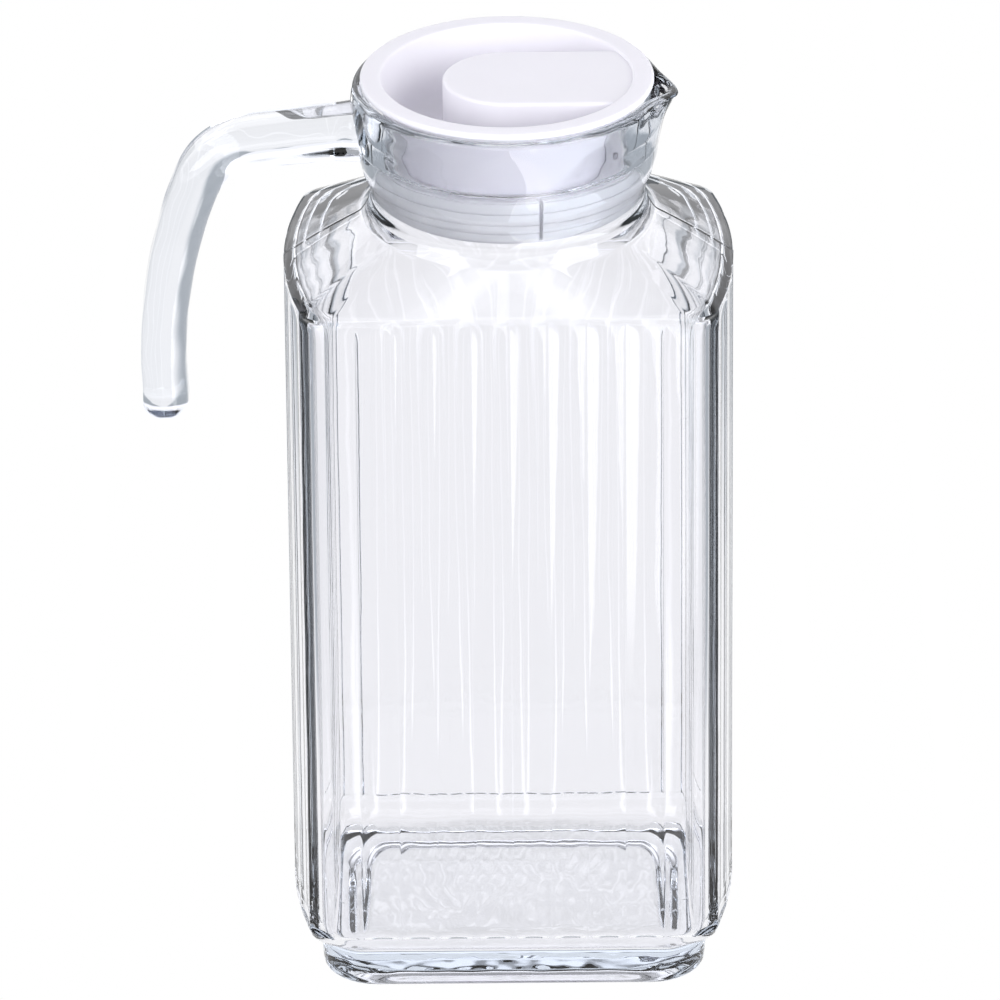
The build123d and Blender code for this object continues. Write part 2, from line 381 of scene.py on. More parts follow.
def combine(piece, other, operation):
    """Joins another closed piece to a piece, or cuts it away, and removes the other."""
    tool = piece.modifiers.new("combine", "BOOLEAN")
    tool.operation, tool.solver, tool.object = operation, "MANIFOLD", other
    mesh = baked(piece)
    piece.modifiers.remove(tool)
    bpy.data.objects.remove(other)
    if len(mesh.polygons) in (0, len(piece.data.polygons)):
        raise RuntimeError(f"{operation} left {piece.name} empty or unchanged")
    piece.data = mesh


# ---- glass vessel --------------------------------------------------------------------------------
def mouth_ring(way, radius, reach, level, dip):
    """A ring of the mouth: a circle pinched out into a pouring lip at +X, whose edge dips."""
    angle = np.arctan2(way[:, 1], way[:, 0])
    pinch = np.exp(-((angle / math.radians(10.5)) ** 2))
    sag = np.exp(-((angle / math.radians(14)) ** 2))
    r = radius + reach * pinch
    return np.column_stack([way * r[:, None], level - dip * sag])


def vessel_mesh(size):
    """The hollow glass body: rings from the middle of the underside, up the outside, down the inside."""
    half_x, half_y = size.width / 2, size.depth / 2
    stations, fluted = body_stations(half_x, half_y, BODY_CORNER, BODY_SIDE, FLUTE_PITCH, size.flute_depth)
    way = round_outline(stations)
    rings, kinds = [], []

    def ring(xy, z, kind):
        z = np.broadcast_to(np.asarray(z, float), (len(xy),))
        rings.append(np.column_stack([xy, z]))
        kinds.append(kind)

    def foot_ring(grow, z):
        plan = foot_outline(stations, FOOT_HALF_X + grow, FOOT_HALF_Y + grow, FOOT_CORNER + grow)
        ring(plan, z, "foot")

    def mouth(radius, reach, z, dip, kind):
        rings.append(mouth_ring(way, radius, reach, z, dip))
        kinds.append(kind)

    # underside: raised middle, resting rim
    foot = foot_outline(stations, FOOT_HALF_X, FOOT_HALF_Y, FOOT_CORNER)
    rise = size.punt_rise
    for share in np.linspace(0.03, 0.78, 22):
        ring(foot * share, rise * (1.0 + 0.25 * (1 - share**2)), "punt")
    for share, z in ((0.80, 0.97), (0.82, 0.85), (0.84, 0.6), (0.86, 0.28), (0.875, 0.08), (0.89, 0.0)):
        ring(foot * share, rise * z, "resting")
    ring(foot * 0.92, 0, "resting")
    for a in np.radians([0, 15, 30, 45, 60, 75, 90]):
        foot_ring(-FOOT_ROUND * (1 - math.sin(a)), FOOT_ROUND * (1 - math.cos(a)))
    for z in (4.5, 6.5, 8.5):
        foot_ring(z * MM * math.tan(FOOT_DRAFT), z * MM)
    # belt: a cove under the body, then the ledge under the flutes
    top = foot_outline(stations, FOOT_HALF_X + 0.4 * MM, FOOT_HALF_Y + 0.4 * MM, FOOT_CORNER + 0.4 * MM)
    smooth = outline(stations, half_x + 0.12 * MM, half_y + 0.12 * MM, BODY_CORNER, BODY_SIDE)
    cove = ((0.0, 10.0), (0.06, 11.2), (0.2, 12.3), (0.4, 13.2), (0.6, 13.9), (0.78, 14.7), (0.91, 15.6))
    for t, z in (*cove, (0.98, 16.5)):
        ring(top + (smooth - top) * t, z * MM, "belt")
    ring(smooth, 17.2 * MM, "belt")
    ring(smooth, 17.6 * MM, "belt")
    ring(smooth * 0.35 + fluted * 0.65, 17.9 * MM, "belt")
    # flutes
    top_z = size.flute_top
    for z in np.concatenate([[18.3 * MM], np.linspace(21 * MM, top_z - 9 * MM, 20)]):
        ring(fluted, z, "flute")
    fade = ((5.5, 0.0), (4.4, 0.03), (3.4, 0.11), (2.5, 0.26), (1.7, 0.46), (1.0, 0.7), (0.4, 0.9))
    for back, share in fade:
        ring(fluted * (1 - share) + smooth * share, top_z - back * MM, "flute")
    # shoulder: straight run from the plan outline to the neck's root
    root = way * ROOT_RADIUS
    run = ROOT_Z - top_z
    climb = (0.01, 0.04, 0.08, 0.12, 0.17, 0.23, 0.3, 0.38, 0.46, 0.55, 0.64, 0.73, 0.81, 0.88, 0.94, 0.98)
    for s in climb:
        h = s - 0.04 * math.sin(math.pi * s) - 0.035 * math.exp(-s / 0.07) * min(1.0, s / 0.05)
        ring(smooth + (root - smooth) * h, top_z + run * s, "shoulder")
    # neck groove and flared mouth: (height, radius), (height, reach of the lip), (height, dip), in mm
    neck = [(219.4, 40.0), (220.6, 39.15), (222.6, 38.0), (225.6, 37.2), (229.0, 37.8), (233.4, 39.6)]
    neck += [(237.5, 40.6), (240.2, 41.0), (243.0, 41.4), (247.0, 41.9), (250.0, 42.15), (253.0, 42.2)]
    neck.append((255.6, 41.9))
    reach = [(238.0, 0.0), (243.0, 0.0), (247.0, 0.35), (250.0, 1.0), (253.0, 2.3), (257.0, 4.6)]
    dips = [(240.0, 0.0), (246.0, 0.3), (252.0, 1.3), (257.0, 2.2)]
    lip, dip = size.lip_reach / KNOT_REACH, size.lip_dip / KNOT_DIP
    levels = [[219.5, 219.9, 220.4, 221.1], np.linspace(222, 239, 15), np.linspace(240, 255.4, 15)]
    for z in np.concatenate(levels):
        r, out, low = through(neck, z), through(reach, max(z, 238.0)), through(dips, max(z, 240.0))
        mouth(r * MM, out * lip * MM, z * MM, low * dip * MM, "neck" if z < 238 else "collar")
    # rim, rounded over
    middle, half = (RIM_OUTER + RIM_INNER) / 2, (RIM_OUTER - RIM_INNER) / 2
    for a in np.radians(np.linspace(8, 172, 12)):
        z = size.rim_height - RIM_DROP * (1 - math.sin(a))
        mouth(middle + half * math.cos(a), size.lip_reach, z, size.lip_dip, "rim")
    # funnel and bore
    funnel = [(240.0, 35.6), (243.5, 36.4), (247.0, 37.2), (253.0, 38.35), (255.6, 38.6)]
    inner_reach = [(240.0, 0.0), (246.0, 0.3), (250.0, 1.2), (253.0, 2.6), (257.0, 4.8)]
    for z in np.linspace(255.2, 240.6, 15):
        r, out, low = through(funnel, z), through(inner_reach, z), through(dips, z)
        mouth(r * MM, out * lip * MM, z * MM, low * dip * MM, "funnel")
    bore = size.neck_bore
    for wider, z in ((0.9, 240.2), (0.35, 240.0), (0.06, 239.8), (0.0, 239.4)):
        ring(way * (bore + wider * MM), z * MM, "bore")
    for z in (237.0, 234.0, 231.0, 228.0, 225.0, 222.5, 221.3):
        ring(way * bore, z * MM, "bore")
    # inside of the shoulder
    wall = size.wall
    inside = outline(stations, half_x - wall, half_y - wall, CAVITY_CORNER, CAVITY_SIDE)
    low_z = top_z - 2 * MM
    for s in (0.01, 0.05, 0.12, 0.2, 0.3, 0.4, 0.5, 0.6, 0.7, 0.8, 0.88, 0.94, 0.98):
        h = s + 0.03 * math.sin(math.pi * s)
        ring(way * bore + (inside - way * bore) * h, BORE_FOOT + (low_z - BORE_FOOT) * s, "inner_shoulder")
    # inner wall
    floor = size.floor_top
    for share in np.linspace(0.0, 1.0, 40):
        z = (low_z - 0.8 * MM) * (1 - share) + (floor + CAVITY_SWELL + 0.6 * MM) * share
        ring(inside, z, "inner_wall")
    # rounded foot of the wall, running into an oval floor
    polar = np.arctan2(inside[:, 1], inside[:, 0])
    facing = np.column_stack([np.cos(polar), np.sin(polar)])
    far = (np.abs(facing) / (OVAL_X, OVAL_Y)) ** OVAL_POWER
    edge = facing / (far.sum(1) ** (1 / OVAL_POWER))[:, None]
    for a in np.radians(np.linspace(0, 90, 22)):
        inward = (1 - math.cos(a)) ** FILLET_POWER
        z = floor + CAVITY_SWELL * (1 - math.sin(a)) ** FILLET_POWER
        ring(inside + (edge - inside) * inward, z, "inner_floor")
    for share in np.linspace(0.965, 0.03, 28):
        ring(edge * share, floor, "inner_floor")

    # unevenness of each part: shares of the broad sway, of the fine ripple and of the upright streaks
    mesh = mesh_from_rings("jug_glass", rings)
    place = np.concatenate(rings)
    kind = np.repeat(np.array(kinds), len(stations))
    height = np.zeros(len(place) + 2)
    broad = waves(place, (0.013, 0.013, 0.022), 11)
    fine = waves(place, (0.0065, 0.0065, 0.0065), 12)
    streak = waves(place, (0.010, 0.010, 0.070), 13)
    body = height[:-2]
    for part, swayed, rippled, streaked in (
        ("shoulder", 0.2, 0.0, 0.0), ("neck", 0.4, 0.0, 0.0), ("collar", 0.7, 0.15, 0.0),
        ("rim", 0.3, 0.0, 0.0), ("funnel", 0.9, 0.6, 0.0), ("inner_shoulder", 0.12, 0.0, 0.05),
        ("inner_wall", 0.2, 0.0, 0.30), ("inner_floor", 0.5, 1.0, 0.0), ("punt", 0.3, 1.0, 0.0),
        ("flute", 0.0, 0.0, 0.12),
    ):
        on = kind == part
        body[on] += size.sway * (swayed * broad[on] + streaked * streak[on])
        body[on] += size.ripple * rippled * fine[on]
    # mould seam: a fine raised line up both sides
    sides = np.isin(kind, ("shoulder", "neck", "collar", "flute", "belt", "foot"))
    body[sides & (np.abs(place[:, 1]) < SEAM_HALF)] += SEAM_HEIGHT
    push(mesh, height)
    return mesh


# ---- glass handle --------------------------------------------------------------------------------
def arc_on(start, heading, end, count):
    """Points along the arc that leaves start in a heading and reaches end, and its last heading."""
    start, end, heading = np.array(start, float), np.array(end, float), np.array(heading, float)
    heading /= np.linalg.norm(heading)
    normal = np.array((-heading[1], heading[0]))
    chord = end - start
    radius = chord @ chord / (2 * (chord @ normal))
    centre = start + normal * radius
    angle = 2 * math.asin(np.linalg.norm(chord) / (2 * abs(radius))) * math.copysign(1, radius)
    points = []
    for t in np.linspace(0, angle, count + 1)[1:]:
        c, s = math.cos(t), math.sin(t)
        spoke = start - centre
        points.append(centre + np.array((c * spoke[0] - s * spoke[1], s * spoke[0] + c * spoke[1])))
    c, s = math.cos(angle), math.sin(angle)
    return points, np.array((c * heading[0] - s * heading[1], s * heading[0] + c * heading[1]))


def handle_line(end_height):
    """The bar's centre line in the XZ plane: out of the mouth, round the bend, down to the free end."""
    start = np.array((-39.0, 243.0)) * MM
    heading = (-0.9993, -0.0375)
    points = [start]
    for end, count in (((-70.0, 239.9), 22), ((-84.5, 228.1), 24), ((-94.1, 171.0), 36)):
        run, heading = arc_on(points[-1], heading, np.array(end) * MM, count)
        points += run
    reach = (points[-1][1] - end_height) / -heading[1]
    points += [points[-1] + heading * d for d in np.linspace(0, reach, 22)[1:]]
    return np.array(points)


def bar_section(half_y, half_n, corner, per_corner=9, per_side=5):
    """Rounded rectangle section, as (across, along the thickness) points."""
    flat_y, flat_n = half_y - corner, half_n - corner
    out = []
    for k, (sx, sy) in enumerate(((1, 1), (-1, 1), (-1, -1), (1, -1))):
        for a in np.linspace(k * math.pi / 2, (k + 1) * math.pi / 2, per_corner):
            out.append((sx * flat_y + corner * math.cos(a), sy * flat_n + corner * math.sin(a)))
        ex, ey = out[-1]
        nx, ny = (-sx * flat_y, sy * half_n) if k % 2 == 0 else (sx * half_y, -sy * flat_n)
        for t in np.linspace(0, 1, per_side + 2)[1:-1]:
            out.append((ex + (nx - ex) * t, ey + (ny - ey) * t))
    return np.array(out)


def handle_mesh(size):
    """The bar swept along its line, flared at the root and rounded over at the free end."""
    line = handle_line(size.end_height)
    step = np.linalg.norm(np.diff(line, axis=0), axis=1)
    along = np.concatenate([[0], np.cumsum(step)])
    total = along[-1]
    tip = [total - TIP * (1 - math.sin(a)) for a in np.radians(np.linspace(0, 88, 14))]
    spots = np.concatenate([along[total - along > TIP], tip])
    rings = []
    for s in np.unique(spots):
        x, z = np.interp(s, along, line[:, 0]), np.interp(s, along, line[:, 1])
        ahead, behind = min(s + 1 * MM, total), max(s - 1 * MM, 0)
        way = np.array((np.interp(ahead, along, line[:, 0]) - np.interp(behind, along, line[:, 0]),
                        np.interp(ahead, along, line[:, 1]) - np.interp(behind, along, line[:, 1])))
        way /= np.linalg.norm(way)
        normal = np.array((-way[1], way[0]))
        left = max(total - s, 0)
        inset = 0.0
        if left < TIP:
            inset = TIP * (1 - math.sqrt(max(1 - (1 - left / TIP) ** 2, 0)))
        flare = 1 + size.root_flare * float(1 - smooth_step(0, FLARE_LENGTH, s)) ** 1.5
        half_y = size.breadth / 2 * flare - inset
        half_n = size.thickness / 2 * flare - inset
        corner = max(min(size.corner * flare - inset, half_n * 0.98), 0.05 * MM)
        section = bar_section(half_y, half_n, corner)
        rings.append(np.column_stack([
            x + section[:, 1] * normal[0], section[:, 0], z + section[:, 1] * normal[1]]))
    mesh = mesh_from_rings("jug_handle_bar", rings)
    place = np.concatenate(rings)
    height = np.zeros(len(place) + 2)
    height[:-2] = BAR_SWAY * waves(place, (0.014, 0.010, 0.014), 21)
    push(mesh, height)
    return mesh


# ---- lid -----------------------------------------------------------------------------------------
def lid_profile(flange):
    """Half section of the lid body, from the recess floor's middle out over the flange and down the boss."""
    points = [(r, RECESS_Z) for r in (0.001, 6.0, 12.0, 18.0, 22.0, 24.0)]
    points += [(26.2, 240.42), (27.9, 240.9), (29.1, 241.8), (29.9, 243.2), (30.5, WALL_Z)]
    points += [(30.5 + 3.35 * t, WALL_Z + 13.1 * t) for t in (0.15, 0.3, 0.5, 0.7, 0.85, 1.0)]
    points += [(33.97, 258.55), (34.12, 258.85), (34.4, 259.05), (34.8, FLANGE_Z)]
    points += [(36.0, FLANGE_Z), (37.5, FLANGE_Z), (flange - 0.75, FLANGE_Z)]
    for a in np.radians([75, 55, 35, 15, 0]):
        points.append((flange - EDGE + EDGE * math.cos(a), FLANGE_Z - EDGE + EDGE * math.sin(a)))
    points += [(flange, 257.9), (flange - 0.12, 257.5), (flange - 0.4, 257.3), (37.5, 257.3), (36.2, 257.3)]
    points += [(35.8, 257.1), (35.5, 256.0), (34.6, 252.6), (33.4, 248.2), (32.2, 244.0), (31.3, 241.0)]
    points += [(BOSS, z) for z in (239.4, 236.0, 232.0, 228.0, 225.3)]
    points += [(31.15, 225.05), (31.7, 225.0), (31.9, 224.8), (31.9, 224.2), (31.7, 224.0), (30.4, 224.0)]
    points += [(29.4, 224.0), (29.2, 224.2), (29.2, 228.0), (29.2, 232.0), (29.2, 236.6), (28.9, 237.7)]
    points += [(27.9, 238.2), (22.0, 238.2), (12.0, 238.2)]
    points.append((0.001, 238.2))
    return [(r * MM, z * MM) for r, z in points]


def turned_mesh(name, profile, count=192):
    """A half section turned about the Z axis."""
    angle = np.linspace(0, 2 * math.pi, count, endpoint=False)
    way = np.column_stack([np.cos(angle), np.sin(angle)])
    return mesh_from_rings(name, [np.column_stack([way * r, np.full(count, z)]) for r, z in profile])


def tongue_ring(radius, wall, z, straight=26, arc=56, tail=30):
    """Plan of the grip tongue: a half round end at -X, straight sides, closed by the recess wall at +X."""
    radius, wall = radius * MM, wall * MM
    half = math.asin(min(radius / wall, 1.0))
    a = np.linspace(math.pi / 2, 3 * math.pi / 2, arc)
    out = [np.column_stack([radius * np.cos(a), radius * np.sin(a)])]
    end = wall * math.cos(half)
    side = np.linspace(0, end, straight)[1:-1]
    out.append(np.column_stack([side, np.full(len(side), -radius)]))
    b = np.linspace(-half, half, tail)
    out.append(np.column_stack([wall * np.cos(b), wall * np.sin(b)]))
    out.append(np.column_stack([side[::-1], np.full(len(side), radius)]))
    ring = np.concatenate(out)
    return np.column_stack([ring, np.full(len(ring), z * MM)])


def tongue_mesh():
    """The grip tongue, from under the recess floor to its rounded top."""

    def wall(z):
        return 29.8 + (35.1 - 29.8) * (z - RECESS_Z) / (FLANGE_Z - RECESS_Z)

    rings = [tongue_ring(r, wall(239.3), 239.3) for r in (2.0, 8.0, 14.0)]
    for z in (239.3, 240.0, 240.5, 241.0, 241.6, 242.4, 244.0, 247.0, 250.0, 253.0, 255.5, 257.3):
        rings.append(tongue_ring(TONGUE + 1.6 * max(0.0, 1 - (z - 239.4) / 2.6) ** 2, wall(z), z))
    for a in np.radians([15, 30, 45, 60, 75, 90]):
        radius = TONGUE - TONGUE_ROUND * (1 - math.cos(a))
        rings.append(tongue_ring(radius, wall(257.0), 257.4 + TONGUE_ROUND * math.sin(a)))
    for r in (15.5, 12.0, 8.0, 4.0, 1.0):
        rings.append(tongue_ring(r, wall(257.0) * min(1.0, 0.2 + r / 17), 258.3))
    return mesh_from_rings("tongue", rings)


def hollow_mesh():
    """The space under the tongue."""
    rings = []
    for z in (236.5, 238.0, 240.0, 244.0, 248.0, 252.0, 256.5):
        wall = 28.4 + (33.6 - 28.4) * max(z - 238.2, 0) / 19.1
        rings.append(tongue_ring(HOLLOW, wall, z))
    return mesh_from_rings("tongue_hollow", rings)


# ---- nodes ---------------------------------------------------------------------------------------
class Wire:
    """A node socket that takes part in ordinary arithmetic; each sum adds its Math node."""

    def __init__(self, tree, socket=None):
        self.tree, self.socket = tree, socket

    def node(self, kind, settings=None, output=0, **sockets):
        """Adds a node of a kind, with its settings, then its sockets' values or links."""
        made = self.tree.nodes.new(kind)
        for key, value in (settings or {}).items():
            setattr(made, key, value)
        for key, value in sockets.items():
            numbered = key[0] == "i" and key[1:].isdigit()
            socket = made.inputs[int(key[1:]) if numbered else key.replace("_", " ")]
            if isinstance(value, Wire):
                self.tree.links.new(value.socket, socket)
            else:
                socket.default_value = value
        return Wire(self.tree, made.outputs[output] if len(made.outputs) else None)

    def sum(self, operation, a, b):
        """Adds a Math node for two values."""
        return self.node("ShaderNodeMath", {"operation": operation}, i0=a, i1=b)

    def __add__(self, other):
        return self.sum("ADD", self, other)

    def __radd__(self, other):
        return self.sum("ADD", other, self)

    def __sub__(self, other):
        return self.sum("SUBTRACT", self, other)

    def __rsub__(self, other):
        return self.sum("SUBTRACT", other, self)

    def __mul__(self, other):
        return self.sum("MULTIPLY", self, other)

    def __rmul__(self, other):
        return self.sum("MULTIPLY", other, self)

    def __truediv__(self, other):
        return self.sum("DIVIDE", self, other)

    def __pow__(self, other):
        return self.sum("POWER", self, other)


# ---- sealing ring, by Geometry Nodes -------------------------------------------------------------
def ring_tree(material):
    """Node tree for a split ring with a stack of fins: a band and fins swept round an open arc."""
    tree = bpy.data.node_groups.new("finned_ring", "GeometryNodeTree")
    face = tree.interface
    face.new_socket("Geometry", in_out="INPUT", socket_type="NodeSocketGeometry")
    sizes = ("Bore", "Wall", "Bottom", "Height", "Fin Pitch", "Fin Reach", "Fin Height", "Slit Angle")
    for name in (*sizes, "Slit Width"):
        face.new_socket(name, in_out="INPUT", socket_type="NodeSocketFloat")
    face.new_socket("Fins", in_out="INPUT", socket_type="NodeSocketInt")
    face.new_socket("Geometry", in_out="OUTPUT", socket_type="NodeSocketGeometry")
    give = tree.nodes.new("NodeGroupInput")
    take = tree.nodes.new("NodeGroupOutput")
    start = Wire(tree)
    size = {socket.name: Wire(tree, socket) for socket in give.outputs}

    def swept(radius, width, height, level):
        """A rectangular section with eased edges, swept round the split arc."""
        gap = size["Slit Width"] / radius
        arc = start.node("GeometryNodeCurveArc", {"mode": "RADIUS"}, Resolution=200, Radius=radius,
                         Start_Angle=size["Slit Angle"] + gap * 0.5, Sweep_Angle=2 * math.pi - gap)
        section = start.node("GeometryNodeCurvePrimitiveQuadrilateral", {"mode": "RECTANGLE"}, Width=width,
                             Height=height)
        rounded = start.node("GeometryNodeFilletCurve", {"mode": "POLY"}, Curve=section, Radius=RING_EDGE,
                             Count=3)
        body = start.node("GeometryNodeCurveToMesh", None, Curve=arc, Profile_Curve=rounded, Fill_Caps=True)
        lift = start.node("ShaderNodeCombineXYZ", None, Z=level)
        return start.node("GeometryNodeTransform", None, Geometry=body, Translation=lift)

    centre = size["Bottom"] + size["Height"] * 0.5
    band = swept(size["Bore"] + size["Wall"] * 0.5, size["Wall"], size["Height"], centre)
    depth = size["Wall"] + size["Fin Reach"]
    middle = size["Bore"] + depth * 0.5 + FIN_INSET
    fin = swept(middle, depth - 2 * FIN_INSET, size["Fin Height"], 0.0)
    rise = start.node("ShaderNodeCombineXYZ", None, Z=size["Fin Pitch"])
    first = start.node("ShaderNodeCombineXYZ", None, Z=size["Bottom"] + FIRST_FIN)
    stack = start.node("GeometryNodeMeshLine", {"mode": "OFFSET"}, Count=size["Fins"], Start_Location=first,
                       Offset=rise)
    fins = start.node("GeometryNodeInstanceOnPoints", None, Points=stack, Instance=fin)
    joined = tree.nodes.new("GeometryNodeJoinGeometry")
    for part in (fins, band):
        tree.links.new(part.socket, joined.inputs[0])
    real = start.node("GeometryNodeRealizeInstances", None, Geometry=Wire(tree, joined.outputs[0]))
    done = start.node("GeometryNodeSetMaterial", None, Geometry=real, Material=material)
    tree.links.new(done.socket, take.inputs[0])
    return tree


def from_tree(name, tree, values):
    """Runs a node tree with its named inputs set, and keeps the result as a plain mesh piece."""
    seed = bpy.data.meshes.new(name + "_seed")
    piece = bpy.data.objects.new(name, seed)
    bpy.context.scene.collection.objects.link(piece)
    maker = piece.modifiers.new("maker", "NODES")
    maker.node_group = tree
    for item in tree.interface.items_tree:
        if item.in_out == "INPUT" and item.name in values:
            maker[item.identifier] = values[item.name]
    mesh = baked(piece)
    piece.modifiers.remove(maker)
    if not mesh.polygons:
        raise RuntimeError(f"{name} came out empty")
    piece.data = mesh
    outward(mesh)
    shade_smooth(mesh, RING_CRISP)
    return piece


# ---- materials -----------------------------------------------------------------------------------
def new_material(name):
    """An empty node material, its starting wire and its output node."""
    material = bpy.data.materials.new(name)
    material.use_nodes = True
    material.node_tree.nodes.clear()
    start = Wire(material.node_tree)
    return material, start, material.node_tree.nodes.new("ShaderNodeOutputMaterial")


def eased(value, low, high, below, above):
    """Runs smoothly from below to above while value goes from low to high."""
    return value.node("ShaderNodeMapRange", {"interpolation_type": "SMOOTHSTEP"}, Value=value, From_Min=low,
                      From_Max=high, To_Min=below, To_Max=above)


def absolute(value):
    """The size of a value without its sign."""
    return value.node("ShaderNodeMath", {"operation": "ABSOLUTE"}, i0=value)


def noise(place, scale, detail, roughness):
    """Noise in the object's own space."""
    return place.node("ShaderNodeTexNoise", {"noise_dimensions": "3D"}, Vector=place, Scale=scale,
                      Detail=detail, Roughness=roughness)


def colour_mix(start, share, a, b):
    """Blend of two colours by a share."""
    return start.node("ShaderNodeMix", {"data_type": "RGBA"}, output=2, i0=share, i6=a, i7=b)


def rgba(colour, gain=1.0):
    """A colour with its brightness scaled, and full alpha."""
    return (*[min(1.0, c * gain) for c in colour], 1.0)


def glass_material(name, colour):
    """Clear pressed glass: faint unevenness and handling haze on the surface, colour in its depth."""
    material, start, out = new_material(name)
    place = start.node("ShaderNodeTexCoord", output=3)
    slow = noise(place, 70.0, 2.0, 0.45)
    haze = noise(place, 24.0, 4.0, 0.6)
    bump = start.node("ShaderNodeBump", None, Strength=1.0, Distance=GLASS_BUMP, Height=slow)
    rough = 0.018 * (haze - 0.45)
    shade = colour_mix(start, haze, (0.925, 0.922, 0.945, 1), (0.955, 0.952, 0.97, 1))
    surface = start.node("ShaderNodeBsdfPrincipled", None, Base_Color=shade, Roughness=rough, IOR=1.5,
                         Transmission_Weight=1.0, Normal=bump)
    depth = start.node("ShaderNodeVolumeAbsorption", None, Color=rgba(colour), Density=8.0)
    material.node_tree.links.new(surface.socket, out.inputs["Surface"])
    material.node_tree.links.new(depth.socket, out.inputs["Volume"])
    return material


def plastic_material(name, colour, rough=0.42):
    """Milky moulded polyethylene: a soft sheen, faint flow clouds and a fine moulded grain."""
    material, start, out = new_material(name)
    place = start.node("ShaderNodeTexCoord", output=3)
    cloud = noise(place, 38.0, 3.0, 0.5)
    grain = noise(place, 900.0, 2.0, 0.6)
    shade = colour_mix(start, cloud, rgba(colour, 0.965), rgba(colour, 1.035))
    bump = start.node("ShaderNodeBump", None, Strength=0.5, Distance=PLASTIC_BUMP, Height=grain + cloud * 0.6)
    sheen = rough + 0.12 * (cloud - 0.5)
    surface = start.node("ShaderNodeBsdfPrincipled", None, Base_Color=shade, Roughness=sheen, IOR=1.5,
                         Subsurface_Weight=0.35, Subsurface_Radius=(1.0, 0.95, 1.0), Subsurface_Scale=0.0035,
                         Normal=bump)
    material.node_tree.links.new(surface.socket, out.inputs["Surface"])
    return material


# ---- stage ---------------------------------------------------------------------------------------
def table_material(glow):
    """A glowing pale table with painted light: its glow is brightest along the middle, painted dimmer and
    slightly blue to the sides.
    """
    material, start, out = new_material("glowing_table_painted_light")
    place = start.node("ShaderNodeTexCoord", output=3)
    x = start.node("ShaderNodeSeparateXYZ", output=0, Vector=place)
    y = start.node("ShaderNodeSeparateXYZ", output=1, Vector=place)
    away = absolute(x)
    # painted light: the table's glow is full along the middle and falls to half towards the sides, like a
    # pool of light
    side = eased(away - y * 0.06, 0.155, 0.26, 1.0, 0.5)
    # a painted bright patch in the table's glow on the right, in front, standing in for a bright card
    painted_card_glow = 3.2 * eased(x, 0.074, 0.082, 0.0, 1.0) * eased(y, -0.30, -0.21, 1.0, 0.0)
    # painted shadow: the table's glow is dimmed in a soft patch under the jug, broken up by painted caustic
    # ripples that stand in for the light its floor bends
    behind = (away / PAINTED_SHADOW_X) ** 2.0 + (y / PAINTED_SHADOW_Y) * absolute(y / PAINTED_SHADOW_Y)
    painted_shadow = eased(behind, 0.70, 1.04, 1.0, 0.0) * eased(away, 0.044, 0.053, 1.0, 0.0)
    painted_shadow = painted_shadow * eased(-1.0 * y, 0.016, 0.034, 1.0, 0.0)
    painted_caustics = start.node("ShaderNodeTexNoise", {"noise_dimensions": "2D"}, Vector=place, Scale=95.0, Detail=2.5,
                       Roughness=0.55, Distortion=1.6)
    # painted shade: the glow under the jug is lowered by the painted shadow, and the painted caustic ripples
    # brighten it in streaks
    shade = 1.0 - painted_shadow * (0.20 - 0.9 * absolute(painted_caustics - 0.5))
    # narrow strip lamps laid in the table behind the jug, which the flutes gather into fine upright lines
    strip = start.node("ShaderNodeMath", {"operation": "PINGPONG"}, i0=away, i1=STRIP_GAP)
    lamp = eased(strip, 0.0, STRIP_HALF, 0.22, 0.0) * eased(y, 0.05, 0.07, 0.0, 1.0)
    lamp = lamp * eased(y, 0.14, 0.24, 1.0, 0.5) * eased(away, 0.11, 0.13, 1.0, 0.0)
    strength = glow * side * shade * (1.0 + lamp) + painted_card_glow
    # the dimmer sides are also painted slightly blue
    colour = colour_mix(start, side, (0.74, 0.87, 1.0, 1), (1.0, 1.0, 1.0, 1))
    light = start.node("ShaderNodeEmission", None, Color=colour, Strength=strength)
    material.node_tree.links.new(light.socket, out.inputs["Surface"])
    return material


def soft_box(name, place, aim, width, height, radiance):
    """A rectangular soft light with a given brightness."""
    lamp = bpy.data.lights.new(name, "AREA")
    lamp.shape, lamp.size, lamp.size_y = "RECTANGLE", width, height
    lamp.energy = radiance * math.pi * width * height
    holder = bpy.data.objects.new(name, lamp)
    bpy.context.scene.collection.objects.link(holder)
    holder.location = place
    holder.rotation_euler = (Vector(aim) - Vector(place)).to_track_quat("-Z", "Y").to_euler()
    return holder


def make_world():
    """A soft white sweep behind and at the horizon, a pale fill in front and at the sides, dimmer above."""
    world = bpy.data.worlds.new("studio")
    bpy.context.scene.world = world
    world.use_nodes = True
    tree = world.node_tree
    tree.nodes.clear()
    start = Wire(tree)
    way = start.node("ShaderNodeTexCoord", output=0)
    y = start.node("ShaderNodeSeparateXYZ", output=1, Vector=way)
    z = start.node("ShaderNodeSeparateXYZ", output=2, Vector=way)
    flat = start.node("ShaderNodeMath", {"operation": "SQRT"}, i0=1.0001 - z * z)
    facing = y / flat
    horizon = eased(z, 0.06, 0.16, 0.70, 0.0)
    sweep = eased(facing, 0.35, 0.75, 0.0, 0.9) * eased(z, 0.45, 0.65, 1.0, 0.0)
    sweep = sweep * eased(z, 0.05, 0.12, 0.0, 1.0)
    ahead = eased(facing, -0.75, -0.30, 0.95, 0.0)
    fill = ahead * eased(z, 0.12, 0.30, 0.0, 1.0) * eased(z, 0.55, 0.8, 1.0, 0.3)
    low = ahead * eased(z, 0.30, 0.50, 1.0, 0.0)
    wings = eased(facing * facing, 0.25, 0.60, 1.0, 0.0) * eased(z, 0.22, 0.42, 0.0, 0.30)
    wings = wings * eased(z, 0.70, 0.86, 1.0, 0.0)
    top = eased(z, 0.66, 0.90, 0.0, -0.14)
    sky = start.node("ShaderNodeBackground", None, Color=(0.965, 0.97, 1.0, 1),
                     Strength=0.44 + horizon + sweep + fill + low + wings + top)
    out = tree.nodes.new("ShaderNodeOutputWorld")
    tree.links.new(sky.socket, out.inputs["Surface"])


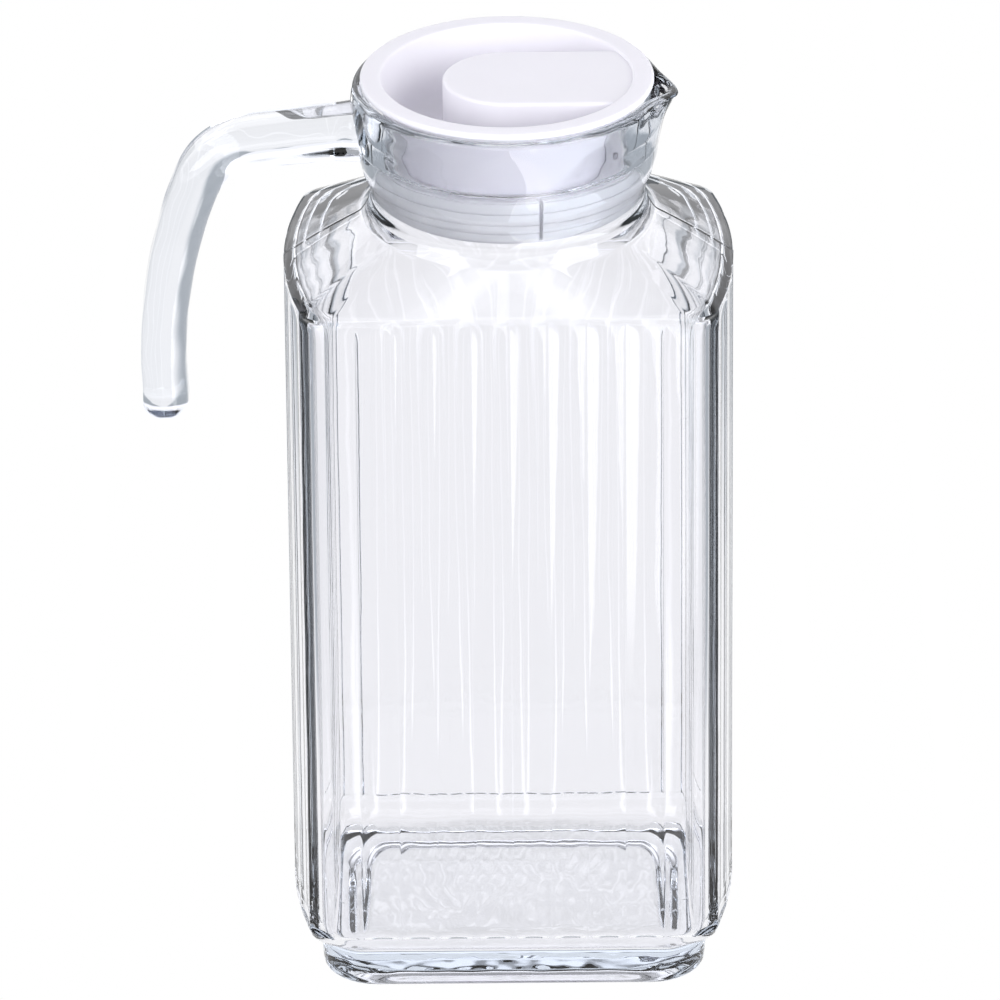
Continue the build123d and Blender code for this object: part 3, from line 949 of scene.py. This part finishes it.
# ---- operators -----------------------------------------------------------------------------------
class JUG_OT_glass(bpy.types.Operator):
    """Makes the glass vessel with its handle fused on"""

    bl_idname = "jug.glass"
    bl_label = "Glass Vessel and Handle"

    def execute(self, context):
        size, bar = context.scene.jug_vessel, context.scene.jug_handle
        material = glass_material("clear_pressed_glass", size.glass_colour)
        vessel = add_piece("jug_glass", vessel_mesh(size), material)
        combine(vessel, add_piece("jug_handle_bar", handle_mesh(bar), material), "UNION")
        shade_smooth(vessel.data, GLASS_CRISP)
        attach(vessel, "jug")
        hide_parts("vessel", "handle")
        return {"FINISHED"}


class JUG_OT_lid(bpy.types.Operator):
    """Makes the lid: flange, recess, boss and hollow grip tongue"""

    bl_idname = "jug.lid"
    bl_label = "Lid"

    def execute(self, context):
        size = context.scene.jug_lid
        material = plastic_material("milky_lid_plastic", size.plastic_colour)
        profile = lid_profile(size.flange_radius / MM)
        lid = add_piece("lid_shell", turned_mesh("lid_shell", profile), material)
        combine(lid, add_piece("tongue", tongue_mesh(), material), "UNION")
        combine(lid, add_piece("tongue_hollow", hollow_mesh(), material), "DIFFERENCE")
        shade_smooth(lid.data, LID_CRISP)
        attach(lid, "cover")
        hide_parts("lid")
        return {"FINISHED"}


class JUG_OT_seal_ring(bpy.types.Operator):
    """Makes the split sealing ring with its fins"""

    bl_idname = "jug.seal_ring"
    bl_label = "Sealing Ring"

    def execute(self, context):
        size = context.scene.jug_ring
        material = plastic_material("milky_ring_plastic", size.plastic_colour, 0.38)
        values = {
            "Bore": RING_BORE, "Wall": RING_WALL, "Bottom": RING_LOW.z, "Height": RING_HIGH.z - RING_LOW.z,
            "Fin Pitch": size.fin_pitch, "Fin Reach": size.fin_reach, "Fin Height": FIN_HEIGHT,
            "Slit Angle": SLIT_ANGLE, "Slit Width": size.slit, "Fins": size.fin_count,
        }
        ring = from_tree("finned_seal_ring", ring_tree(material), values)
        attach(ring, "plug_ring")
        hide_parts("seal_ring")
        return {"FINISHED"}


class JUG_OT_stage(bpy.types.Operator):
    """Makes the pale table, the soft lamps and the camera"""

    bl_idname = "jug.stage"
    bl_label = "Stage"

    def execute(self, context):
        look = context.scene.jug_stage
        table = bpy.data.meshes.new("table")
        corners = [(x * TABLE_HALF, y * TABLE_HALF, 0) for x, y in ((-1, -1), (1, -1), (1, 1), (-1, 1))]
        table.from_pydata(corners, [], [(0, 1, 2, 3)])
        floor = bpy.data.objects.new("table", table)
        floor.location.z = VESSEL_LOW.z - TABLE_GAP
        context.scene.collection.objects.link(floor)
        table.materials.append(table_material(look.table_glow))
        make_world()
        soft_box("soft_top", (0.0, 0.1, 1.4), LAMP_AIM, 1.1, 1.1, 0.20)
        soft_box("soft_front", (0.0, -1.5, 0.75), (0, 0, 0.22), 0.9, 0.5, 0.8)
        soft_box("soft_left", (-1.02, -0.66, 0.86), LAMP_AIM, 0.85, 0.75, 2.7)
        soft_box("soft_right", (1.02, -0.66, 0.86), LAMP_AIM, 0.85, 0.75, 3.4)
        camera = bpy.data.cameras.new("camera")
        camera.lens, camera.sensor_width = 375.3, 36.0
        camera.shift_x, camera.shift_y = -0.0104, -0.0015
        camera.clip_start, camera.clip_end = 0.05, 100
        holder = bpy.data.objects.new("camera", camera)
        context.scene.collection.objects.link(holder)
        aim = Vector(CAMERA_AIM)
        rise = look.camera_elevation
        back = Vector((0, -math.cos(rise), math.sin(rise)))
        holder.location = aim + back * look.camera_distance
        turn = (-back).to_track_quat("-Z", "Y").to_matrix().to_4x4()
        holder.rotation_euler = (turn @ Matrix.Rotation(CAMERA_ROLL, 4, "Z")).to_euler()
        context.scene.camera = holder
        context.scene.view_settings.view_transform = "Standard"
        cycles = context.scene.cycles
        cycles.max_bounces, cycles.transmission_bounces, cycles.glossy_bounces = 16, 14, 6
        cycles.transparent_max_bounces = 8
        cycles.sample_clamp_indirect = 6.0
        cycles.use_denoising = True
        return {"FINISHED"}


class JUG_PT_panel(bpy.types.Panel):
    """Buttons and sizes for the glass jug"""

    bl_idname = "JUG_PT_panel"
    bl_label = "Glass Jug"
    bl_space_type = "VIEW_3D"
    bl_region_type = "UI"
    bl_category = "Glass Jug"

    def draw(self, context):
        for settings, operators in PANEL_ROWS:
            box = self.layout.box()
            group = getattr(context.scene, settings)
            for name in group.bl_rna.properties.keys():
                if name not in ("rna_type", "name"):
                    box.prop(group, name)
            for operator in operators:
                box.operator(operator)


PANEL_ROWS = (
    ("jug_vessel", ("jug.glass",)),
    ("jug_handle", ()),
    ("jug_lid", ("jug.lid",)),
    ("jug_ring", ("jug.seal_ring",)),
    ("jug_stage", ("jug.stage",)),
)
SETTINGS = {
    "jug_vessel": GlassJugVesselSettings,
    "jug_handle": GlassJugHandleSettings,
    "jug_lid": GlassJugLidSettings,
    "jug_ring": GlassJugRingSettings,
    "jug_stage": GlassJugStageSettings,
}
CLASSES = (*SETTINGS.values(), JUG_OT_glass, JUG_OT_lid, JUG_OT_seal_ring, JUG_OT_stage, JUG_PT_panel)


def register():
    for item in CLASSES:
        bpy.utils.register_class(item)
    for name, settings in SETTINGS.items():
        setattr(bpy.types.Scene, name, PointerProperty(type=settings))


def unregister():
    for name in SETTINGS:
        delattr(bpy.types.Scene, name)
    for item in reversed(CLASSES):
        bpy.utils.unregister_class(item)


def main():
    """Makes every piece and the stage."""
    register()
    bpy.ops.jug.glass()
    bpy.ops.jug.lid()
    bpy.ops.jug.seal_ring()
    bpy.ops.jug.stage()


if __name__ == "__main__":
    main()
